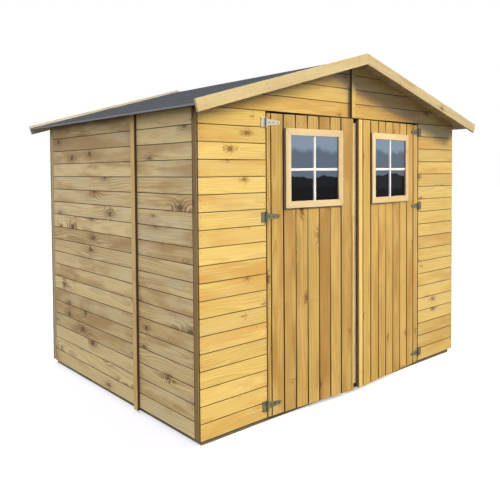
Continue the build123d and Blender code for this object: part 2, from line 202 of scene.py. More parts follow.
@dataclass(frozen=True)
class TimberFinish(Finish):
    """Spruce or pine, sawn or planed, tinted by its preservative.

    Rings are two to four millimetres apart in the real wood; ring_mm is coarser so that
    the figure still shows at the size the shed is looked at.
    """

    pale: str
    dark: str
    stain: str
    knot: str = "4A2C12"
    joint: str = "5A3E1A"
    silver: str = "C4B998"
    grain: Grain = Grain.LOG
    ring_mm: float = 9.0
    figure: float = 0.5
    tone_spread: float = 0.22
    mottling: float = 0.35
    bleaching: float = 0.0
    knot_share: float = 0.32
    knot_mm: float = 13.0
    knot_rings: float = 0.3
    roughness: float = 0.62
    relief_mm: float = 0.35

    def _fibre_space(self, sheet: NodeSheet) -> tuple[Socket, Socket]:
        """Find coordinates with x along the fibres, and a random tone for each board.

        Args:
            sheet: The sheet the nodes go on.

        Returns:
            The coordinates in metres and the tone from 0 to 1.
        """
        if self.grain is Grain.LOG:
            fibre = sheet.add("Attribute", output="Vector", attribute_name="log")
            return fibre, sheet.add("Attribute", output="Fac", attribute_name="tone")
        turn = {
            Grain.ALONG_X: (0.0, 0.0, 0.0),
            Grain.ALONG_Y: (0.0, 0.0, -math.pi / 2),
            Grain.ALONG_Z: (0.0, math.pi / 2, 0.0),
        }[self.grain]
        place = sheet.add("TexCoord", output="Object")
        fibre = sheet.add("Mapping", place, (0.37, 0.071, 0.053), turn)
        patch = sheet.add("Mapping", fibre, at={"Scale": (0.35, 2.2, 2.2)})
        return fibre, sheet.add("TexNoise", patch, at={"Scale": 1.0, "Detail": 0.0})

    def _knots(self, sheet: NodeSheet, fibre: Socket) -> tuple[Socket, ...]:
        """Scatter knots over the board's face, one to a cell, in a share of the cells.

        Args:
            sheet: The sheet the nodes go on.
            fibre: Coordinates with x along the fibres and y across the board.

        Returns:
            The knot with the dark whorl of grain beside it, the stained wood round it, how
            strongly the growth rings show there, and how far they swell, in metres.
        """
        add = sheet.add
        along_cells, across_cells = 3.8, 6.6  # cells to the metre
        rough = add("TexNoise", fibre, at={"Scale": 28.0, "Detail": 2.0}, output="Color")
        rough = add("VectorMath:SUBTRACT", rough, (0.5, 0.5, 0.5))
        rough = add("VectorMath:SCALE", rough, at={"Scale": 22 * MM})
        bent = add("VectorMath:ADD", fibre, rough)
        cells = add("VectorMath:MULTIPLY", bent, (along_cells, across_cells, 0.0))
        grid = {"Vector": cells, "Scale": 1.0, "Randomness": 0.9}
        heart = add("TexVoronoi", at=grid, output="Position", voronoi_dimensions="2D")
        draw = add("TexVoronoi", at=grid, output="Color", voronoi_dimensions="2D")
        draw = add("SeparateColor", draw, output="Red")
        away = add("VectorMath:SUBTRACT", cells, heart)
        away = add("VectorMath:MULTIPLY", away, (1 / along_cells, 1 / across_cells, 0.0))
        size = add("MapRange", draw, 0.0, self.knot_share, 1.0, 0.22)
        size = add("Math:MULTIPLY", size, self.knot_mm * MM)
        holds = add("Math:LESS_THAN", draw, self.knot_share)

        oval = add("VectorMath:MULTIPLY", away, (0.75, 1.0, 0.0))
        gap = add("VectorMath:LENGTH", oval, output=1)
        reach = add("Math:DIVIDE", gap, size)
        core = add("MapRange:SMOOTHSTEP", reach, 0.72, 1.0, 1.0, 0.0)
        heartwood = add("MapRange", reach, 0.25, 0.75, 0.45, 1.0)
        core = add("Math:MULTIPLY", core, heartwood)
        core = add("Math:MULTIPLY", core, holds)
        # the stained wood round a knot is drawn out along the grain
        drawn = add("VectorMath:MULTIPLY", away, (0.36, 1.0, 0.0))
        drawn = add("VectorMath:LENGTH", drawn, output=1)
        drawn = add("Math:DIVIDE", drawn, size)
        halo = add("MapRange:SMOOTHSTEP", drawn, 0.7, 2.3, 0.62, 0.0)
        # beside a knot one dark whorl of grain crosses most of the board
        along = add("SeparateXYZ", away, output="X")
        across = add("SeparateXYZ", away, output="Y")
        bow = add("Math:MULTIPLY", across, across)
        bow = add("Math:MULTIPLY_ADD", bow, -11.0, 17 * MM)
        whorl = add("Math:SUBTRACT", along, bow)
        whorl = add("Math:ABSOLUTE", whorl)
        whorl = add("MapRange:SMOOTHSTEP", whorl, 0.0, 4.0 * MM, 0.6, 0.0)
        near = add("MapRange", gap, 18 * MM, 46 * MM, 1.0, 0.0)
        whorl = add("Math:MULTIPLY", whorl, near)
        whorl = add("Math:MULTIPLY", whorl, holds)
        core = add("Math:MAXIMUM", core, whorl)
        crowd = add("MapRange:SMOOTHSTEP", drawn, 1.5, 5.0, self.knot_rings, 0.0)
        swell = add("MapRange:SMOOTHSTEP", reach, 0.0, 5.0, 17 * MM, 0.0)
        return core, *(add("Math:MULTIPLY", part, holds) for part in (halo, crowd, swell))

    def _rings(self, sheet: NodeSheet, fibre: Socket, wander: Socket, swell: Socket) -> Socket:
        """Draw the latewood of the growth rings.

        Args:
            sheet: The sheet the nodes go on.
            fibre: Coordinates measured from the pith.
            wander: Slow noise along the log, from 0 to 1.
            swell: How far the rings swell round a knot, in metres.

        Returns:
            The latewood, from 0 to 1.
        """
        add = sheet.add
        # distance from the pith, which wanders slowly along the log
        wander = add("MapRange", wander, 0.0, 1.0, -30 * MM, 30 * MM)
        section = add("VectorMath:MULTIPLY", fibre, (0.0, 1.0, 1.0))
        radius = add("VectorMath:LENGTH", section, output=1)
        radius = add("Math:ADD", radius, wander)
        radius = add("Math:ADD", radius, swell)
        count = add("Math:MULTIPLY", radius, 1 / (self.ring_mm * MM))
        ring = add("Math:FRACT", count)
        late = add("MapRange:SMOOTHSTEP", ring, 0.2, 0.8)
        fall = add("MapRange", ring, 0.86, 1.0, 1.0, 0.0)
        return add("Math:MULTIPLY", late, fall)

    def shader(self, sheet: NodeSheet) -> Socket:
        """Draw the growth rings, knots, board tones and fibres.

        Args:
            sheet: The sheet the nodes go on.

        Returns:
            The finished shader.
        """
        add = sheet.add
        fibre, tone = self._fibre_space(sheet)
        # noises drawn out along the board: a shift, patches to the metre along and across, detail
        noises = []
        for shift, along, across, detail in (
            (0.0, 1.3, 6.0, 2.0), (0.0, 4.0, 150.0, 3.0), (0.0, 2.2, 9.0, 2.0),
            (0.0, 3.0, 14.0, 3.0), (7.0, 2.4, 8.0, 3.0),
        ):
            pace = {"Location": (shift, 0.0, 0.0), "Scale": (along, across, across)}
            spot = add("Mapping", fibre, at=pace)
            noises.append(add("TexNoise", spot, at={"Scale": 1.0, "Detail": detail}))
        wander, fibres, sapwood, cloud, bleach = noises
        knot, halo, crowd, swell = self._knots(sheet, fibre)
        late = self._rings(sheet, fibre, wander, swell)

        # latewood and fibres, strongest in the soft patches where the sapwood shows
        depth = add("Math:MULTIPLY", late, self.figure)
        depth = add("Math:MULTIPLY", depth, sapwood)
        depth = add("Math:MULTIPLY_ADD", late, crowd, depth)
        depth = add("Math:ADD", depth, add("MapRange", fibres, 0.3, 0.7, -0.10, 0.16))
        shade = add("MapRange", tone, 0.0, 1.0, -0.5 * self.tone_spread, self.tone_spread)
        depth = add("Math:ADD", depth, shade)
        depth = add("Math:ADD", depth, halo, use_clamp=True)

        # heartwood and preservative leave broad reddish clouds along each board
        lean = add("Math:MULTIPLY", tone, 7.13)
        lean = add("Math:FRACT", lean)
        lean = add("Math:MULTIPLY_ADD", lean, 0.30, -0.15)
        cloud = add("Math:ADD", cloud, lean)
        cloud = add("MapRange:SMOOTHSTEP", cloud, 0.42, 0.72, 0.0, self.mottling)
        bleach = add("MapRange:SMOOTHSTEP", bleach, 0.46, 0.72, 0.0, self.bleaching)
        # painted shade, with some dust, darkens the joints between boards
        joint = add("Attribute", output="Fac", attribute_name="joint")
        joint = add("Math:MULTIPLY", joint, 0.95)

        wood = linear(self.pale)
        for share, tint in (
            (depth, self.dark), (cloud, self.stain), (bleach, self.silver), (knot, self.knot),
            (joint, self.joint),
        ):
            wood = add("Mix:RGBA", share, at={6: wood, 7: linear(tint)}, output=2)

        # latewood stands a little proud of the earlywood, and the saw leaves a light nap
        height = add("Math:ADD", fibres, late)
        bump = {"Strength": 0.6, "Distance": self.relief_mm * MM, "Height": height}
        bump = add("Bump", at=bump)
        dull = add("MapRange", late, 0.0, 1.0, self.roughness + 0.08, self.roughness - 0.10)
        return add("BsdfPrincipled", at={"Base Color": wood, "Roughness": dull, "Normal": bump})


@dataclass(frozen=True)
class MetalFinish(Finish):
    """Hot-dip galvanised steel: a matt grey zinc coat with large faint crystals."""

    zinc: str
    cloud: str
    highlight_tint: str
    roughness: float = 0.48
    crystal_mm: float = 14.0

    def shader(self, sheet: NodeSheet) -> Socket:
        """Draw the crystals, clouding, slight unevenness and a painted highlight on the upper left
        hinge.

        Args:
            sheet: The sheet the nodes go on.

        Returns:
            The finished shader.
        """
        add = sheet.add
        place = add("TexCoord", output="Object")
        scale = {"Scale": 1 / (self.crystal_mm * MM)}
        draw = add("SeparateColor", add("TexVoronoi", place, at=scale, output=1), output="Green")
        cloud = add("TexNoise", place, at={"Scale": 35.0, "Detail": 3.0})
        blend = add("Math:MULTIPLY_ADD", draw, 0.35, -0.1)
        blend = add("Math:ADD", blend, cloud, use_clamp=True)
        # painted highlight: the upper left hinge is drawn paler, as if it caught the light
        left = add("Math:LESS_THAN", add("SeparateXYZ", place, output="X"), -0.5)
        upper = add("Math:GREATER_THAN", add("SeparateXYZ", place, output="Z"), 1.6)
        highlight_share = add("Math:MULTIPLY", left, upper)
        highlight_share = add("Math:MULTIPLY", highlight_share, 0.8)
        colour = linear(self.zinc)
        for share, tint in ((blend, self.cloud), (highlight_share, self.highlight_tint)):
            colour = add("Mix:RGBA", share, at={6: colour, 7: linear(tint)}, output=2)
        bump = {"Strength": 0.3, "Distance": 0.2 * MM, "Height": cloud}
        rough = add("MapRange", draw, 0.0, 1.0, self.roughness - 0.1, self.roughness + 0.14)
        zinc = {"Base Color": colour, "Metallic": 0.5, "Roughness": rough}
        return add("BsdfPrincipled", at={**zinc, "Normal": add("Bump", at=bump)})


@dataclass(frozen=True)
class FeltFinish(Finish):
    """Mineral-faced bitumen felt: slate granules of about one millimetre on black bitumen.

    Granules are drawn at grit_mm, coarse enough to show.
    """

    slate: str
    bitumen: str
    fold: str
    grit_mm: float = 5.0

    def shader(self, sheet: NodeSheet) -> Socket:
        """Draw the granules, worn patches and faint ripples.

        Args:
            sheet: The sheet the nodes go on.

        Returns:
            The finished shader.
        """
        add = sheet.add
        place = add("TexCoord", output="Object")
        grit = add("TexNoise", place, at={"Scale": 1 / (self.grit_mm * MM)})
        worn = add("TexNoise", place, at={"Scale": 5.0, "Detail": 8.0})
        ripple = add("TexNoise", place, at={"Scale": 6.0, "Detail": 1.0})
        blend = add("MapRange", grit, 0.38, 0.62, 0.2, 1.15)
        blend = add("Math:MULTIPLY", blend, add("MapRange", worn, 0.3, 0.7, 0.4, 0.6))
        # where the sheet turns down over the eaves, its upright faces are drawn paler
        facing = add("NewGeometry", output="True Normal")
        flat = add("Math:ABSOLUTE", add("SeparateXYZ", facing, output="Z"))
        upright_paler = add("MapRange", flat, 0.3, 0.8, 0.8, 0.0)
        colour = linear(self.bitumen)
        for share, tint in ((blend, self.slate), (upright_paler, self.fold)):
            colour = add("Mix:RGBA", share, at={6: colour, 7: linear(tint)}, output=2)
        fine = add("Bump", at={"Strength": 0.7, "Distance": 1.0 * MM, "Height": grit})
        bump = {"Strength": 0.3, "Distance": 5 * MM, "Height": ripple, "Normal": fine}
        bump = add("Bump", at=bump)
        return add("BsdfPrincipled", at={"Base Color": colour, "Roughness": 0.86, "Normal": bump})


@dataclass(frozen=True)
class GlassFinish(Finish):
    """Horticultural sheet glass: a smooth dark pane that glows with a painted reflection of the
    sky.

    The painted sky pales the upper panes, a painted hedge line crosses them and the foot stays
    dark.
    """

    painted_sky: str
    painted_hedge: str
    room: str
    hedge_top: float = 1.528
    hedge_foot: float = 1.374
    opacity: float = 0.90

    @staticmethod
    def _edge(sheet: NodeSheet, place: Socket, height: float, pace: float, blur: float) -> Socket:
        """Draw a level edge that wanders up and down.

        Args:
            sheet: The sheet the nodes go on.
            place: Coordinates in metres.
            height: Mean height of the edge in metres.
            pace: Wanderings to the metre.
            blur: Half the height of the blend in metres.

        Returns:
            A factor that is 1 above the edge and 0 below it.
        """
        add = sheet.add
        run = add("VectorMath:MULTIPLY", place, (pace, 0.0, 0.0))
        wander = add("TexNoise", run, at={"Scale": 1.0, "Detail": 3.0})
        wander = add("Math:MULTIPLY_ADD", wander, -0.12, 0.06 - height)
        over = add("Math:ADD", add("SeparateXYZ", place, output="Z"), wander)
        return add("MapRange:SMOOTHSTEP", over, -blur, blur)

    def shader(self, sheet: NodeSheet) -> Socket:
        """Draw the pane, its painted reflection, which glows, and a faint unevenness.

        Args:
            sheet: The sheet the nodes go on.

        Returns:
            The finished shader.
        """
        place = sheet.add("TexCoord", output="Object")
        colour = linear(self.room)
        for height, pace, blur, tint in (
            (self.hedge_foot, 4.0, 4 * MM, self.painted_hedge), (self.hedge_top, 7.0, 20 * MM, self.painted_sky)
        ):
            above = self._edge(sheet, place, height, pace, blur)
            colour = sheet.add("Mix:RGBA", above, at={6: colour, 7: linear(tint)}, output=2)
        wave = sheet.add("TexNoise", place, at={"Scale": 5.0, "Detail": 0.0})
        bump = {"Strength": 0.12, "Distance": 1.5 * MM, "Height": wave}
        # the painted reflection glows as emission over a near-black base
        pane = {
            "Base Color": linear("050506"), "Emission Color": colour, "Emission Strength": 1.0,
            "Roughness": 0.03, "IOR": 1.52, "Specular IOR Level": 0.12, "Alpha": self.opacity,
            "Normal": sheet.add("Bump", at=bump),
        }
        return sheet.add("BsdfPrincipled", at=pane)


# ------------------------------------------------------------------ the shed's own finishes

FRONT_BOARDS = TimberFinish(
    "treated_spruce_front", pale="D5BB70", dark="9C7D41", stain="BC9048", knot="6B4A28",
    joint="46300E", knot_rings=0.12, mottling=0.62, bleaching=0.18, knot_share=0.36, knot_mm=14.0,
)
SIDE_BOARDS = TimberFinish(
    "treated_spruce_sides", pale="D5BE86", dark="886A3C", stain="A3804B", knot="46330F",
    joint="4E3A1C", figure=0.6, tone_spread=0.25, mottling=0.75, bleaching=0.4, knot_share=0.45,
    knot_mm=19.0, knot_rings=0.6,
)
DOOR_BOARDS = TimberFinish(
    "treated_spruce_doors", pale="C0A25C", dark="825A28", stain="A07838", knot="5E3414",
    joint="241406", silver="D8B878", figure=0.65, tone_spread=0.32, mottling=0.65, bleaching=0.3,
    knot_rings=0.2,
)
DOOR_EDGE = TimberFinish("treated_spruce_edge", pale="DCC27C", dark="B0904E", stain="C09E5C")
MEETING_STRIP = TimberFinish(
    "treated_spruce_strip", pale="EEDC96", dark="C2A862", stain="D0B870", grain=Grain.ALONG_Z
)
WINDOW_FRAME = TimberFinish(
    "planed_pine_frame", pale="D8C79F", dark="B6996C", stain="C4A674", tone_spread=0.35,
    knot_share=0.4, knot_mm=6.0,
)
# the window frames' sides and the leaves' free edges are drawn dark: painted shade
PAINTED_SHADE_SIDES = TimberFinish("frame_and_edge_painted_shade", pale="9A6E46", dark="7C5432", stain="8A603A")
GLAZING_BARS = TimberFinish(
    "primed_glazing_bars", pale="E4E4E6", dark="D6D6D8", stain="DCDCDE", knot="CFCFCF",
    tone_spread=0.1,
)
BATTEN = TimberFinish("planed_battens", pale="D0B270", dark="A38146", stain="B78F52")
# the battens' side faces are drawn dark brown: painted shade
BATTEN_SIDE_SHADE = TimberFinish("sawn_batten_edges", pale="6B4A2A", dark="4A3018", stain="573A1E")
BARGES = {
    End.FRONT: TimberFinish(
        "planed_spruce_barge", pale="C6B78C", dark="9E885E", stain="AE9468", knot="6B4522",
        knot_share=0.3, knot_mm=9.0,
    ),
    # the rear barge is drawn paler all over: a painted highlight
    End.REAR: TimberFinish(
        "rear_barge_painted_glare", pale="D6CBB0", dark="AC9E80", stain="BDAA86", knot_share=0.2,
        knot_mm=7.0,
    ),
}
ROOF_BOARDS = TimberFinish("sawn_roof_boards", pale="CDB48A", dark="9F8158", stain="AA875A")
FLOOR_BOARDS = TimberFinish("planed_floor_boards", pale="BFA274", dark="977749", stain="A37E4C")
REAR_POSTS = TimberFinish(
    "sawn_rear_posts", pale="B5A06E", dark="8C764A", stain="9C8454", grain=Grain.ALONG_Z
)
FRAMING_X, FRAMING_Y, FRAMING_Z = (
    TimberFinish(
        f"sawn_framing_{grain.value}", pale="8C6E3E", dark="604826", stain="70542E", grain=grain
    )
    for grain in (Grain.ALONG_X, Grain.ALONG_Y, Grain.ALONG_Z)
)
BASE_X, BASE_Y = (
    TimberFinish(
        f"soaked_base_{grain.value}", pale="7A6F58", dark="514832", stain="5C523C", grain=grain
    )
    for grain in (Grain.ALONG_X, Grain.ALONG_Y)
)
HINGE_STEEL = MetalFinish("galvanised_steel", zinc="A09C82", cloud="77775E", highlight_tint="F2EEDC")
NAIL_STEEL = MetalFinish("weathered_nails", zinc="5E4626", cloud="3E2C16", highlight_tint="5E4626")
FELT = FeltFinish("mineral_felt", slate="525A5C", bitumen="292E33", fold="908F90")
GLASS = GlassFinish("window_glass", painted_sky="8696A6", painted_hedge="606C7A", room="1A191B")

CAD_FINISHES: dict[str, Finish] = {  # of the CAD nodes that keep their shape
    **dict.fromkeys(("front_wall_posts", "left_wall_studs", "right_wall_studs"), FRAMING_Z),
    **dict.fromkeys(("door_head_rail", "door_sill", "gable_rafters"), FRAMING_X),
    **dict.fromkeys(("left_door_ledges", "right_door_ledges"), FRAMING_X),
    **dict.fromkeys(("wall_bottom_plates", "wall_top_plates", "roof_purlins"), FRAMING_Y),
    **dict.fromkeys(
        ("hinge_plates", "left_door_hinge_straps", "right_door_hinge_straps"), HINGE_STEEL
    ),
    "base_side_rails": BASE_Y,
    "base_cross_rails": BASE_X,
    "left_door_meeting_strip": MEETING_STRIP,
    "rear_wall_posts": REAR_POSTS,
}


# ------------------------------------------------------------------ modelling tools


def lies_at(value: float, *coordinates: float, within: float = 0.001 * MM) -> bool:
    """Whether all of these coordinates have this value, within a micron or as told."""
    return all(abs(coordinate - value) < within for coordinate in coordinates)


def activate(piece: Optional[Piece] = None) -> None:
    """Go to object mode and select one object, or none.

    Args:
        piece: The object that is selected and made active.
    """
    if bpy.context.mode != "OBJECT":
        bpy.ops.object.mode_set(mode="OBJECT")
    bpy.ops.object.select_all(action="DESELECT")
    if piece is not None:
        piece.select_set(True)
        bpy.context.view_layer.objects.active = piece


@contextmanager
def editing(
    piece: Piece, kind: str = "", test: Optional[Callable[[Vector, Vector], bool]] = None
) -> Iterator[None]:
    """Edit a piece with all of it selected, or its faces or edges that pass a test.

    Args:
        piece: The object to work on.
        kind: FACE or EDGE, where there is a test.
        test: Takes a face's centre and normal, or the two ends of an edge.

    Yields:
        Nothing; the piece is in edit mode until the block ends.
    """
    activate(piece)
    bpy.ops.object.mode_set(mode="EDIT")
    if test is None:
        bpy.ops.mesh.select_all(action="SELECT")
    else:
        bpy.ops.mesh.select_mode(type=kind)
        bpy.ops.mesh.select_all(action="DESELECT")
        bpy.ops.object.mode_set(mode="OBJECT")
        points = piece.data.vertices
        if kind == "FACE":
            for face in piece.data.polygons:
                face.select = test(face.center, face.normal)
        else:
            for edge in piece.data.edges:
                edge.select = test(*(points[end].co for end in edge.vertices))
        bpy.ops.object.mode_set(mode="EDIT")
    yield
    bpy.ops.object.mode_set(mode="OBJECT")


def start_block(name: str, low: Sequence[float], high: Sequence[float]) -> Piece:
    """Add a block between two opposite corners, its place kept in its mesh.

    Args:
        name: Name of the new object.
        low: Lowest corner in millimetres.
        high: Highest corner in millimetres.

    Returns:
        The new object, selected and active.
    """
    activate()
    low, high = Vector(low) * MM, Vector(high) * MM
    bpy.ops.mesh.primitive_cube_add(size=1.0, location=(low + high) / 2, scale=high - low)
    bpy.context.object.name = name
    bpy.ops.object.transform_apply(location=True, rotation=True, scale=True)
    return bpy.context.object


def start_head(sides: int, radius: float, height: float, proud: float) -> Piece:
    """Add the plain round head of a nail or screw that looks along -Y.

    Args:
        sides: Number of flats round it.
        radius: Its radius in millimetres.
        height: Its height in millimetres.
        proud: How much of its height stands outside the face y = 0, in millimetres.

    Returns:
        The new object, selected and active.
    """
    activate()
    bpy.ops.mesh.primitive_cylinder_add(
        vertices=sides, radius=radius * MM, depth=height * MM,
        location=(0, (height / 2 - proud) * MM, 0), rotation=(math.pi / 2, 0, 0),
    )
    bpy.ops.object.transform_apply(location=True, rotation=True, scale=True)
    return bpy.context.object


def pan_head_screw(radius: float = 3.6, height: float = 2.2) -> Piece:
    """Model a pan-head screw that looks along -Y, its seat at the origin.

    Args:
        radius: Radius of the head in millimetres.
        height: Height of the head in millimetres.

    Returns:
        The screw head with its driver recess.
    """
    head = start_head(12, radius, height, proud=height)
    with editing(head, "EDGE", lambda a, b: lies_at(-height * MM, a.y, b.y)):
        bpy.ops.mesh.bevel(offset=1.1 * MM, segments=2)
    with editing(head, "FACE", lambda c, n: n.y < -0.9 and c.length < (height + 0.2) * MM):
        bpy.ops.mesh.inset(thickness=1.0 * MM)
        bpy.ops.mesh.extrude_region_move(TRANSFORM_OT_translate={"value": (0, 1.0 * MM, 0)})
    return head


@dataclass(frozen=True)
class Cut:
    """A saw cut along a plane; what lies on its outward side falls away."""

    point: Vector
    outward: Vector

    def depth(self, spot: Vector) -> float:
        """How far a spot lies inside the cut, in metres."""
        return (self.point - spot).dot(self.outward)

    def saw(self, piece: Piece) -> None:
        """Saw a piece off and close the cut.

        Args:
            piece: The piece.
        """
        with editing(piece):
            bpy.ops.mesh.bisect(
                plane_co=self.point, plane_no=self.outward, use_fill=True, clear_outer=True
            )


def apply_modifiers(piece: Piece) -> None:
    """Apply every modifier of a piece, in order.

    Args:
        piece: The piece.
    """
    activate(piece)
    for modifier in list(piece.modifiers):
        bpy.ops.object.modifier_apply(modifier=modifier.name)


def join(name: str, parts: Sequence[Piece]) -> Piece:
    """Join objects into one mesh at the origin.

    Args:
        name: Name of the result.
        parts: The objects, which are used up.

    Returns:
        The joined object.
    """
    activate(parts[0])
    for part in parts:
        part.select_set(True)
    if len(parts) > 1:
        bpy.ops.object.join()
    parts[0].name = parts[0].data.name = name
    return parts[0]


def copy_of(pattern: Piece, place: Matrix) -> Piece:
    """Copy an object with its own mesh, moved and turned within that mesh.

    Args:
        pattern: The object to copy.
        place: The move, from the pattern's frame to the shed's.

    Returns:
        The copy.
    """
    twin = pattern.copy()
    twin.data = pattern.data.copy()
    bpy.context.scene.collection.objects.link(twin)
    twin.data.transform(place)
    return twin


def discard(pattern: Piece) -> None:
    """Remove an object that is no longer needed, with its mesh.

    Args:
        pattern: The object.
    """
    mesh = pattern.data
    bpy.data.objects.remove(pattern)
    bpy.data.meshes.remove(mesh)


def dress(piece: Piece, *finishes: Finish) -> Piece:
    """Give a piece these finishes in place of any it has.

    Args:
        piece: The piece.
        *finishes: Its finishes, of which it shows the first unless a face says otherwise.

    Returns:
        The same piece.
    """
    piece.data.materials.clear()
    for finish in finishes:
        piece.data.materials.append(finish.material())
    return piece


def enter(piece: Piece, body: str, replaced: Sequence[str] = ()) -> None:
    """Enter a finished piece in the frame: its body and the nodes it stands for.

    Args:
        piece: The finished piece.
        body: The body it moves with.
        replaced: CAD nodes that it replaces.
    """
    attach(piece, body)
    if replaced:
        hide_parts(*replaced)
    log.info("%s: %d faces on %s", piece.name, len(piece.data.polygons), body)


# ------------------------------------------------------------------ boards and nails


class Facing(Enum):
    """Which way a wall's outer face looks, as its turn about the Z axis in degrees."""

    FRONT = 0
    RIGHT = 90
    REAR = 180
    LEFT = 270

    def turn(self) -> Matrix:
        """The turn from a front wall's frame to this wall's."""
        return Matrix.Rotation(math.radians(self.value), 4, "Z")

    def face(self, node: str) -> tuple[float, float, float]:
        """Measure a CAD node as this wall sees it.

        Args:
            node: Name of the node.

        Returns:
            Where it starts along the wall, its length, and its outer face, in metres.
        """
        ends = [self.turn().inverted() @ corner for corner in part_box(node)]
        start = min(end.x for end in ends)
        return start, max(end.x for end in ends) - start, min(end.y for end in ends)


@dataclass(frozen=True)
class BoardProfile:
    """Section of a board that lies along +X with its face towards -Y and its tongue up.

    Sizes are in millimetres; cover is what one board adds to the wall's height. A board with
    no tongue is plain.
    """

    cover: float
    thickness: float
    edge_bevel: float
    joint: float = 0.0
    tongue: float = 0.0
    tongue_start: float = 5.0
    tongue_end: float = 10.5
    back_bevel: float = 0.0

    def pattern(self, length: float) -> Piece:
        """Model one board of this section, its lower face corner at the origin.

        Args:
            length: Length in millimetres.

        Returns:
            The board.
        """
        height = (self.cover - self.joint) * MM
        top = (length, self.thickness, self.cover - self.joint)
        board = start_block("board", (0, 0, 0), top)
        if self.tongue > 0:
            self._shape_joint(board)
        for depth, bevel in ((0.0, self.edge_bevel), (self.thickness * MM, self.back_bevel)):
            if not bevel:
                continue
            with editing(
                board, "EDGE",
                lambda a, b: lies_at(depth, a.y, b.y) and lies_at(a.z, b.z)
                and (a.z < 0.001 * MM or lies_at(height, a.z)),
            ):
                bpy.ops.mesh.bevel(offset=bevel * MM, segments=2, profile=0.6)
        # how far each point lies in the joint with the next board, from 0 to 1; the finish paints
        # shade there
        skin = 0.2 * MM
        inside = [
            float(self.tongue > 0 and skin < vertex.co.y < self.thickness * MM - skin)
            for vertex in board.data.vertices
        ]
        board.data.attributes.new("joint", "FLOAT", "POINT").data.foreach_set("value", inside)
        return board

    def _shape_joint(self, board: Piece) -> None:
        """Raise the tongue on the top edge and sink its groove in the bottom edge.

        Args:
            board: The plain board.
        """
        for depth in (self.tongue_start, self.tongue_end):
            with editing(board):
                bpy.ops.mesh.bisect(plane_co=(0, depth * MM, 0), plane_no=(0, 1, 0))
        middle = (self.tongue_start + self.tongue_end) / 2 * MM
        near = 0.1 * MM
        with editing(board, "FACE", lambda c, n: n.z > 0.9 and lies_at(middle, c.y, within=near)):
            rise = (0, 0, self.tongue * MM)
            bpy.ops.mesh.extrude_region_move(TRANSFORM_OT_translate={"value": rise})
            bpy.ops.transform.resize(value=(1, 0.8, 1))
        with editing(board, "FACE", lambda c, n: n.z < -0.9 and lies_at(middle, c.y, within=near)):
            rise = (0, 0, (self.tongue + 1.0) * MM)
            bpy.ops.mesh.extrude_region_move(TRANSFORM_OT_translate={"value": rise})


class Joiner:
    """Lays copies of a board pattern, each with its own piece of the log and its own tone."""

    def __init__(self, seed: int) -> None:
        """Start with a fixed seed, so that every run gives the same boards."""
        self.draw = random.Random(seed)

    def lay(
        self, pattern: Piece, place: Matrix, cuts: Sequence[Cut] = (),
        hole: Optional[tuple[Sequence[float], Sequence[float]]] = None,
    ) -> Piece:
        """Copy a board to its place, saw it and mark the run of its grain.

        Args:
            pattern: The board to copy, along +X.
            place: From the pattern's frame to the shed's.
            cuts: Saw cuts, in the shed's frame.
            hole: Two corners of a block to cut out, in the shed's frame, in millimetres.

        Returns:
            The new board.
        """
        board = copy_of(pattern, place)
        for cut in cuts:
            cut.saw(board)
        if hole is not None:
            block = start_block("cutter", *hole)
            cutter = board.modifiers.new("opening", "BOOLEAN")
            cutter.operation, cutter.solver, cutter.object = "DIFFERENCE", "EXACT", block
            apply_modifiers(board)
            discard(block)
        self._mark_grain(board, place)
        return board

    def _mark_grain(self, board: Piece, place: Matrix) -> None:
        """Store where each point of a board lay in its log, and the board's tone.

        Args:
            board: The finished board.
            place: From the frame with the grain along +X to the shed's.
        """
        mesh = board.data
        back = place.inverted()
        start = self.draw.uniform(0.0, 90.0)
        pith = Vector((start, self.draw.uniform(-0.03, 0.11), self.draw.uniform(0.02, 0.10)))
        spots: list[float] = []
        for vertex in mesh.vertices:
            local = back @ vertex.co
            spots.extend((local.x + pith.x, local.z - pith.y, local.y + pith.z))
        mesh.attributes.new("log", "FLOAT_VECTOR", "POINT").data.foreach_set("vector", spots)
        tones = [self.draw.random()] * len(mesh.vertices)
        mesh.attributes.new("tone", "FLOAT", "POINT").data.foreach_set("value", tones)


@dataclass
class Nailer:
    """Round nail heads, driven a little below a board's face or standing just proud."""

    head_radius: float = 2.2
    head_height: float = 1.6
    proud: float = 0.3
    scatter: float = 3.0
    seed: int = 11
    heads: list[Piece] = field(default_factory=list)

    def __post_init__(self) -> None:
        """Model one nail head, and start with a fixed seed."""
        self.draw = random.Random(self.seed)
        self.pattern = start_head(8, self.head_radius, self.head_height, self.proud)
        with editing(self.pattern, "FACE", lambda c, n: n.y < -0.9):
            bpy.ops.mesh.inset(thickness=0.7 * MM)
            bpy.ops.transform.translate(value=(0, -0.3 * MM, 0))

    def drive(self, place: Matrix, x: float, z: float) -> None:
        """Drive a nail into the face y = 0 of a board.

        Args:
            place: From the board's frame to the shed's.
            x: Distance along the board in metres.
            z: Distance across the board in metres.
        """
        x, z = (v + self.draw.uniform(-self.scatter * MM, self.scatter * MM) for v in (x, z))
        self.heads.append(copy_of(self.pattern, place @ Matrix.Translation((x, 0, z))))

    def gather(self, name: str) -> Piece:
        """Join the nails driven so far into one piece of this name."""
        discard(self.pattern)
        return join(name, self.heads)


